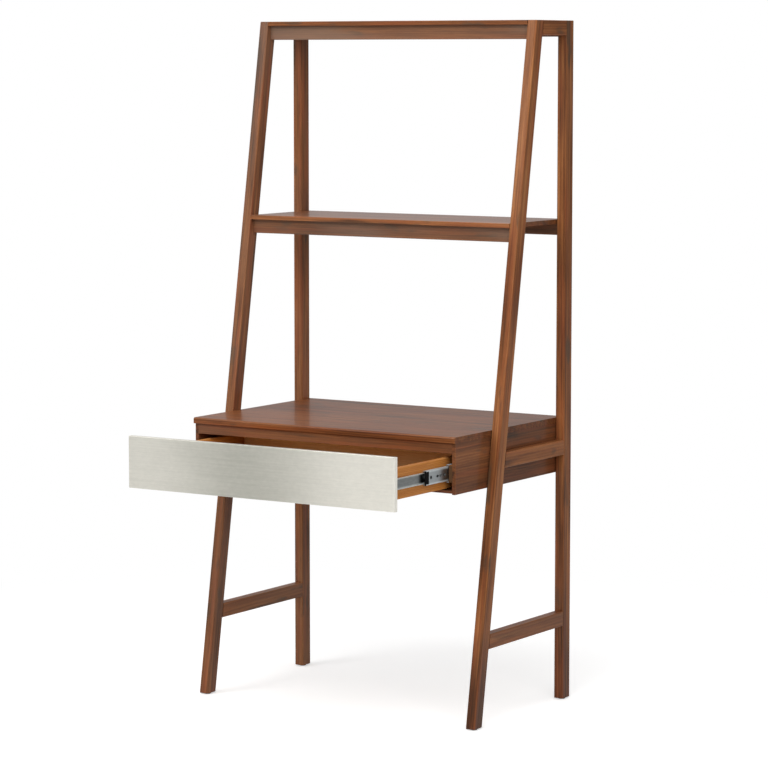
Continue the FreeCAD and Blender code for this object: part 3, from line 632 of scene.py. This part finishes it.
# %% Brushed sheet
HAIRS, LINES, BRUSH_CLOUDS, MOTTLE = (9.0, 1700.0), (3.0, 420.0), (6.0, 9.0), (70.0, 130.0)
PAINTED_BAND_LEFT, PAINTED_BAND_REACH = 0.036, 0.34
FOLD = (0.4038, 0.4048)
SHEET_BARE, FOLD_LOSS = 0.75, 0.6
SHEET_ROUGHNESS, SHEET_BUMP, SCRATCH_DEPTH = 0.36, 0.20, 0.0003


def metal(recipe, colour, roughness, height, bump, distance, bare=1.0):
    """A metal surface with a varying colour, roughness and bump; bare says how much of it is bare metal."""
    normal = recipe.node("ShaderNodeBump", None, {"Strength": bump, "Distance": distance, "Height": height})
    surface = recipe.node("ShaderNodeBsdfPrincipled", None, {
        "Base Color": colour, "Roughness": roughness, "Metallic": bare, "Normal": normal})
    recipe.node("ShaderNodeOutputMaterial", None, {"Surface": surface})


def brushed_sheet(name):
    """Long fine scratches (noise drawn out over 100 to 1), with a painted reflection: a darker band and a
    lighter right end.
    """
    material, recipe = new_finish(name)
    point = board_point(recipe, "across, upright")
    hairs = noise(recipe, scaled(recipe, point, *HAIRS), 3.0, 0.7)
    lines = noise(recipe, scaled(recipe, point, *LINES), 3.0, 0.6)
    clouds = noise(recipe, scaled(recipe, point, *BRUSH_CLOUDS), 2.0)
    mottle = noise(recipe, scaled(recipe, point, *MOTTLE), 3.0)
    across = recipe.node("ShaderNodeSeparateXYZ", None, {0: point}, "X")
    # Painted reflection: darker around a band left of the middle, lighter towards the right end.
    off_band = across + (clouds - MIDDLE) * 0.10 + PAINTED_BAND_LEFT
    band = eased(recipe, off_band.sum("ABSOLUTE", off_band), 0.0, PAINTED_BAND_REACH)
    shade = band * 0.72 + across * 0.26 + 0.08
    shade = shade + (hairs - MIDDLE) * 0.30 + (lines - MIDDLE) * 0.34 + (mottle - MIDDLE) * 0.30
    colour = blended(recipe, shade, light_of(180, 179, 169), light_of(234, 231, 221))
    roughness = SHEET_ROUGHNESS + lines * 0.10 + mottle * 0.06
    scratches = hairs * 0.6 + lines * 0.4
    # Less metallic at the fold, so that it shows lighter: a painted highlight.
    bare = SHEET_BARE - eased(recipe, across, *FOLD) * FOLD_LOSS
    metal(recipe, colour, roughness, scratches, SHEET_BUMP, SCRATCH_DEPTH, bare)
    return material


dress("drawer_front_skin", brushed_sheet("brushed_sheet"))
print("brushed sheet dressed, band", PAINTED_BAND_LEFT, "m left of the middle")

# %% [markdown]
# ## Zinc
# The slides are rolled from strip and zinc plated: cloudy, with fine lines along the rolling. One
# grey for all would do from afar, but the drawer opens right in front of the eye. So the long rims
# carry a painted highlight and are less metallic, the web between them is painted in shade, and
# each kind of member has its own tones.

# %% Zinc plate
ZINC_CLOUDS, ROLLING = (60.0, 140.0), (12.0, 2200.0)
# Where the painted highlight on the rims starts and is full, and its tone there.
RIM_START, RIM_FULL, RIM_PAINTED_HIGHLIGHT = 0.62, 0.92, 0.85
ZINC_ROUGHNESS, ZINC_BUMP, LINE_DEPTH = 0.24, 0.10, 0.0002


def zinc_plate(name, middle, half, web, shaded_zinc, lit_zinc):
    """Zinc with a painted highlight on the rims, near half a height off the middle, and painted shade on the
    web between them.
    """
    material, recipe = new_finish(name)
    point = board_point(recipe, "front to back")
    clouds = noise(recipe, scaled(recipe, point, *ZINC_CLOUDS), 4.0, 0.6)
    rolling = noise(recipe, scaled(recipe, point, *ROLLING), 2.0)
    height = height_above(recipe, middle)
    # Painted highlight on the rims and painted shade on the web between them; the rims are also less
    # metallic.
    rim = eased(recipe, height.sum("ABSOLUTE", height), half * RIM_START, half * RIM_FULL)
    shade = rim * (RIM_PAINTED_HIGHLIGHT - web) + web + (clouds - MIDDLE) * 0.3 + (rolling - MIDDLE) * 0.25
    colour = blended(recipe, shade, light_of(*shaded_zinc), light_of(*lit_zinc))
    metal(recipe, colour, ZINC_ROUGHNESS + clouds * 0.16, rolling, ZINC_BUMP, LINE_DEPTH, 1 - rim * 0.5)
    return material


print("zinc ready")

# %% [markdown]
# ## Steel and plastic
# Screws, bolts and balls are brighter plain steel. The bumpers and glides are moulded black
# plastic with a fine spark-eroded grain. They are small in view, and a flat grey and a flat black
# would pass at a glance, but turning marks, tarnish, grain and dust cost only a few nodes.

# %% Plain steel and moulded plastic
TARNISH, MARKS = (180.0, 180.0), (2600.0, 700.0)
PEBBLES, DUST = (2000.0, 2000.0), (90.0, 90.0)
STEEL_ROUGHNESS, STEEL_BUMP = 0.20, 0.08
PLASTIC_ROUGHNESS, PLASTIC_BUMP = 0.46, 0.3


def plain_steel(name):
    """Fine turning marks and faint tarnish on a neutral grey."""
    material, recipe = new_finish(name)
    point = board_point(recipe, "across, flat")
    tarnish = noise(recipe, scaled(recipe, point, *TARNISH), 3.0)
    marks = noise(recipe, scaled(recipe, point, *MARKS), 2.0)
    dulled = eased(recipe, tarnish, 0.35, 0.7)
    colour = blended(recipe, dulled, light_of(196, 194, 190), light_of(158, 156, 152))
    metal(recipe, colour, STEEL_ROUGHNESS + tarnish * 0.2, marks, STEEL_BUMP, LINE_DEPTH)
    return material


def moulded_plastic(name):
    """Near-black with a pebbled grain of half a millimetre."""
    material, recipe = new_finish(name)
    point = board_point(recipe, "across, flat")
    pebbles = noise(recipe, scaled(recipe, point, *PEBBLES), 2.0)
    dust = noise(recipe, scaled(recipe, point, *DUST), 3.0)
    dusty = eased(recipe, dust, 0.4, 0.75)
    colour = blended(recipe, dusty, light_of(13, 13, 14), light_of(26, 25, 25))
    lacquered(recipe, colour, PLASTIC_ROUGHNESS + dust * 0.14, pebbles, BARE, PLASTIC_BUMP)
    return material


print("steel and plastic ready")

# %% [markdown]
# ## Dressing the small parts
# Each small part names the stuff that it is made of, so a loop over those names is shorter and
# safer than a list of every screw. The zinc needs each member's own height, which the frame gives.

# %% Dressing the small parts
# The web's painted shade, then the shaded and the lit colour. The ball cages have the drawer members' zinc.
ZINCS = {
    "middle": (0.52, (74, 78, 81), (212, 219, 221)),
    "cabinet": (0.25, (74, 80, 86), (214, 224, 230)),
    "drawer": (0.25, (72, 75, 76), (216, 220, 218)),
}
small_finishes = {"steel": plain_steel("plain_steel"), "black_plastic": moulded_plastic("moulded_plastic")}
for node, slot in slot_of.items():
    if slot in small_finishes:
        dress(node, small_finishes[slot])
    elif slot == "zinc":
        low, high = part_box(node)
        kind = next((kind for kind in ZINCS if kind in node), "drawer")
        dress(node, zinc_plate("zinc_" + node, (low.z + high.z) / 2, (high.z - low.z) / 2, *ZINCS[kind]))
print({slot: sum(s == slot for s in slot_of.values()) for slot in ("zinc", *small_finishes)}, "nodes dressed")

# %% [markdown]
# ## A white sweep
# A furniture picture is taken in a white sweep: pale floor, pale surroundings, large soft lamps.
# A real sweep would stand in the way when the desk is seen from behind, so the surroundings are
# the world colour, and the floor is a flat disc, large enough that its rim is lost in the white.

# %% Floor
FLOOR_RADIUS = 14.0
FLOOR_RINGS = np.array([0.5, 1.0, 2.0, 4.0, 8.0, FLOOR_RADIUS])
FLOOR_STEPS = 96
floor_turn, floor_reach = np.meshgrid(np.linspace(0, 2 * math.pi, FLOOR_STEPS + 1)[:-1], FLOOR_RINGS)


def disc(name):
    """A flat disc: x = r cos(turn), y = r sin(turn), with one point at its middle."""
    ring_count, step_count = floor_turn.shape
    rim = np.stack([floor_reach * np.cos(floor_turn), floor_reach * np.sin(floor_turn), 0 * floor_turn], -1)
    points = np.vstack([[(0.0, 0.0, 0.0)], rim.reshape(-1, 3)])
    step = np.arange(step_count)
    following = (step + 1) % step_count
    fan = np.stack([0 * step, 1 + step, 1 + following], -1)
    base = 1 + step_count * np.arange(ring_count - 1)[:, None]
    outer = base + step_count
    quads = np.stack([base + step, outer + step, outer + following, base + following], -1)
    mesh = bpy.data.meshes.new(name)
    mesh.from_pydata(points.tolist(), [], fan.tolist() + quads.reshape(-1, 4).tolist())
    made = bpy.data.objects.new(name, mesh)
    bpy.context.scene.collection.objects.link(made)
    return made


floor = disc("floor")
print("floor radius", FLOOR_RADIUS, "m")

# %% [markdown]
# ## The floor's finish
# The floor has to look white and still show the desk's shadow. More light would burn out the desk.
# So the floor near the desk is matt grey with a glow that is seen but lights nothing dull, and
# further out it turns into even white. In mirror-like surfaces it is a little dimmer, so that the
# metal front keeps its tone when it is seen from above.

# %% The floor's finish
WHITE = (1.0, 1.0, 1.0, 1.0)
FLOOR_GREY = (0.74, 0.74, 0.74, 1.0)
FLOOR_GLOW, MIRRORED_GLOW_LOSS, MIRRORED_WHITE_LOSS = 0.48, 0.14, 0.2
NEAR_FLOOR, FAR_FLOOR = 0.8, 2.2


def seen_directly(recipe):
    """1 for rays from the camera, from a glossy surface or through glass, otherwise 0."""
    camera = recipe.node("ShaderNodeLightPath", output="Is Camera Ray")
    glossy = recipe.node("ShaderNodeLightPath", output="Is Glossy Ray")
    through = recipe.node("ShaderNodeLightPath", output="Is Transmission Ray")
    return camera.sum("MINIMUM", camera + glossy + through, 1.0)


def pale_floor(name):
    """Matt grey and a glow up to NEAR_FLOOR from the middle, even white to direct sight from FAR_FLOOR on."""
    material, recipe = new_finish(name)
    seen = seen_directly(recipe)
    mirrored = recipe.node("ShaderNodeLightPath", output="Is Glossy Ray")
    place = recipe.node("ShaderNodeTexCoord", output="Object")
    from_desk = recipe.node("ShaderNodeVectorMath", {"operation": "LENGTH"}, {0: place}, "Value")
    matt = recipe.node("ShaderNodeBsdfDiffuse", None, {"Color": FLOOR_GREY})
    glow = seen * FLOOR_GLOW - mirrored * MIRRORED_GLOW_LOSS
    lift = recipe.node("ShaderNodeEmission", None, {"Color": WHITE, "Strength": glow})
    near = recipe.node("ShaderNodeAddShader", None, {0: matt, 1: lift})
    even = 1 - mirrored * MIRRORED_WHITE_LOSS
    far = recipe.node("ShaderNodeEmission", None, {"Color": WHITE, "Strength": even})
    share = eased(recipe, from_desk, NEAR_FLOOR, FAR_FLOOR) * seen
    sweep = recipe.node("ShaderNodeMixShader", None, {0: share, 1: near, 2: far})
    recipe.node("ShaderNodeOutputMaterial", None, {"Surface": sweep})
    return material


floor.data.materials.append(pale_floor("pale_floor"))
print("floor is even white from", FAR_FLOOR, "m on")

# %% [markdown]
# ## Surroundings
# Around the desk the studio is white to the eye. In the lacquer and the metal it shows as walls
# that grow from grey at eye level to white overhead, a little darker on the right. One even white
# would be simpler, but a glossy top seen at a low angle would look milky instead of brown. Dull
# surfaces get a soft fill from all sides.

# %% Surroundings
FILL = 0.52
WALLS = 0.36
WALL_FOOT, WALL_TOP = 0.15, 0.75
SIDE_SLOPE = 0.2


def surroundings():
    """Camera rays see white, glossy rays see walls from grey to white, the rest get a soft fill."""
    world = bpy.data.worlds.new("studio")
    bpy.context.scene.world = world
    world.use_nodes = True
    air = Recipe(world.node_tree)
    way = air.node("ShaderNodeTexCoord", output="Generated")
    rise = air.node("ShaderNodeSeparateXYZ", None, {0: way}, "Z")
    side = air.node("ShaderNodeSeparateXYZ", None, {0: way}, "X")
    walls = eased(air, rise, WALL_FOOT, WALL_TOP) * (1.0 - WALLS) + WALLS - side * SIDE_SLOPE
    glossy = air.node("ShaderNodeLightPath", output="Is Glossy Ray")
    seen = seen_directly(air)
    strength = (1 - seen) * FILL + glossy * walls + (seen - glossy)
    white = air.node("ShaderNodeBackground", None, {"Color": WHITE, "Strength": strength})
    air.node("ShaderNodeOutputWorld", None, {"Surface": white})


surroundings()
print("fill", FILL, "and walls from", WALLS)

# %% [markdown]
# ## Lamps
# Three large square lamps do the lighting: two in front, left and right of the middle, and one
# above that reaches into the open drawer. Small lamps would draw hard shadows and bright dots in
# the lacquer; large ones shade softly, as in the picture.

# %% Lamps
# Place, target, size in metres and power in watts.
LAMPS = {
    "left": ((-2.6, -4.2, 3.8), (0.0, 0.0, 0.8), 2.4, 62.0),
    "right": ((3.2, -4.0, 3.8), (0.0, 0.0, 0.8), 4.4, 155.0),
    "top": ((0.0, -2.0, 4.2), (0.0, -0.4, 0.7), 4.0, 110.0),
}


def soft_lamp(name, place, target, size, power):
    """A square lamp at place that faces target."""
    light = bpy.data.lights.new(name, "AREA")
    light.shape = "SQUARE"
    light.size = size
    light.energy = power
    lamp = bpy.data.objects.new(name, light)
    away = np.array(place) - np.array(target)
    lamp.location = place
    tip = math.atan2(math.hypot(away[0], away[1]), away[2])
    lamp.rotation_euler = (tip, 0.0, math.atan2(away[0], -away[1]))
    bpy.context.scene.collection.objects.link(lamp)


for name, setting in LAMPS.items():
    soft_lamp(name, *setting)
print(len(LAMPS), "lamps")

# %% [markdown]
# ## The camera
# The picture was taken from the desk's right and from just below the height of its top, far away
# with a long lens. The viewpoint could be found by trial, but it was worked out from the corners
# of the boards, whose sizes are known.

# %% Camera
IMAGE_SIDE = 768
FOCAL_PIXELS = 3076.15
SENSOR = 36.0
CAMERA_PLACE = (4.37975, -6.69015, 1.71122)
DIP, TURN = 6.091, 32.558
camera_data = bpy.data.cameras.new("camera")
camera_data.sensor_width = SENSOR
camera_data.lens = FOCAL_PIXELS / IMAGE_SIDE * SENSOR
camera_data.clip_end = 100.0
camera = bpy.data.objects.new("camera", camera_data)
camera.location = CAMERA_PLACE
camera.rotation_euler = (math.radians(90 - DIP), 0.0, math.radians(TURN))
bpy.context.scene.collection.objects.link(camera)
bpy.context.scene.camera = camera
bpy.context.scene.view_settings.view_transform = "Standard"
print("lens", round(camera_data.lens, 2), "mm")
